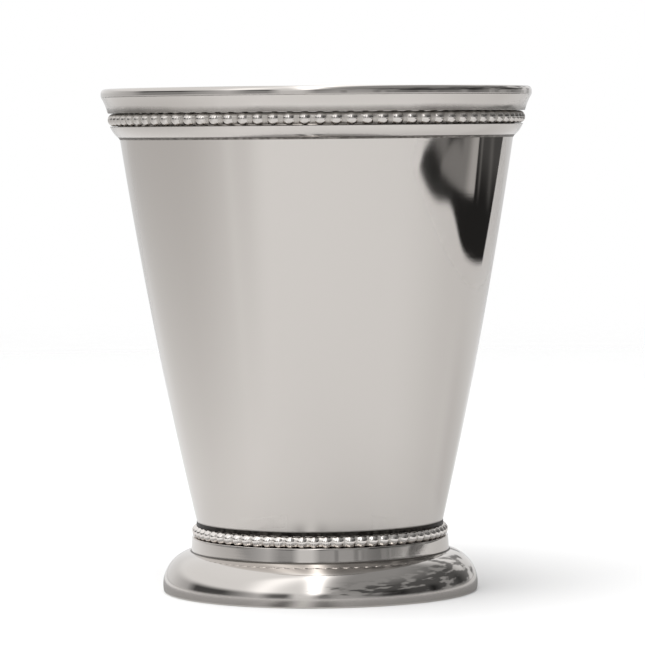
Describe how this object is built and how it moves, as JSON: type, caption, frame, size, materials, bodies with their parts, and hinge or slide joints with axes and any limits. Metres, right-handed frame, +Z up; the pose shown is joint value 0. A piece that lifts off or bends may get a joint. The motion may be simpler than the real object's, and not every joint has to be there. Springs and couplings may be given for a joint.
{
  "type": "julep cup",
  "caption": "Polished metal julep cup: tapered, slightly swelling body, turned-out lip over a beaded border, and a hollow rounded foot under a beaded collar.",
  "frame": {"origin": "centre of the flat ring that the foot stands on, at table height", "axes": "+Z up the cup's axis towards the mouth; X and Y lie in the table plane, with a bead of each row centred on +X"},
  "size_m": [0.0888, 0.0888, 0.104],
  "materials": {
    "polished_silver": "mirror polished silver plate, slightly warm, with fine rubbing marks",
    "dark_solder": "dull grey solder, darkened by tarnish and old polish in the groove"
  },
  "bodies": {
    "root": {"cup_body": "polished_silver", "rim_upper_moulding": "polished_silver", "rim_bead_wire": "polished_silver", "rim_lower_moulding": "polished_silver", "rim_solder_seam": "dark_solder", "foot_shell": "polished_silver", "foot_bead_wire": "polished_silver", "foot_solder_seam": "dark_solder", "foot_seat_solder": "dark_solder"}
  },
  "joints": []
}
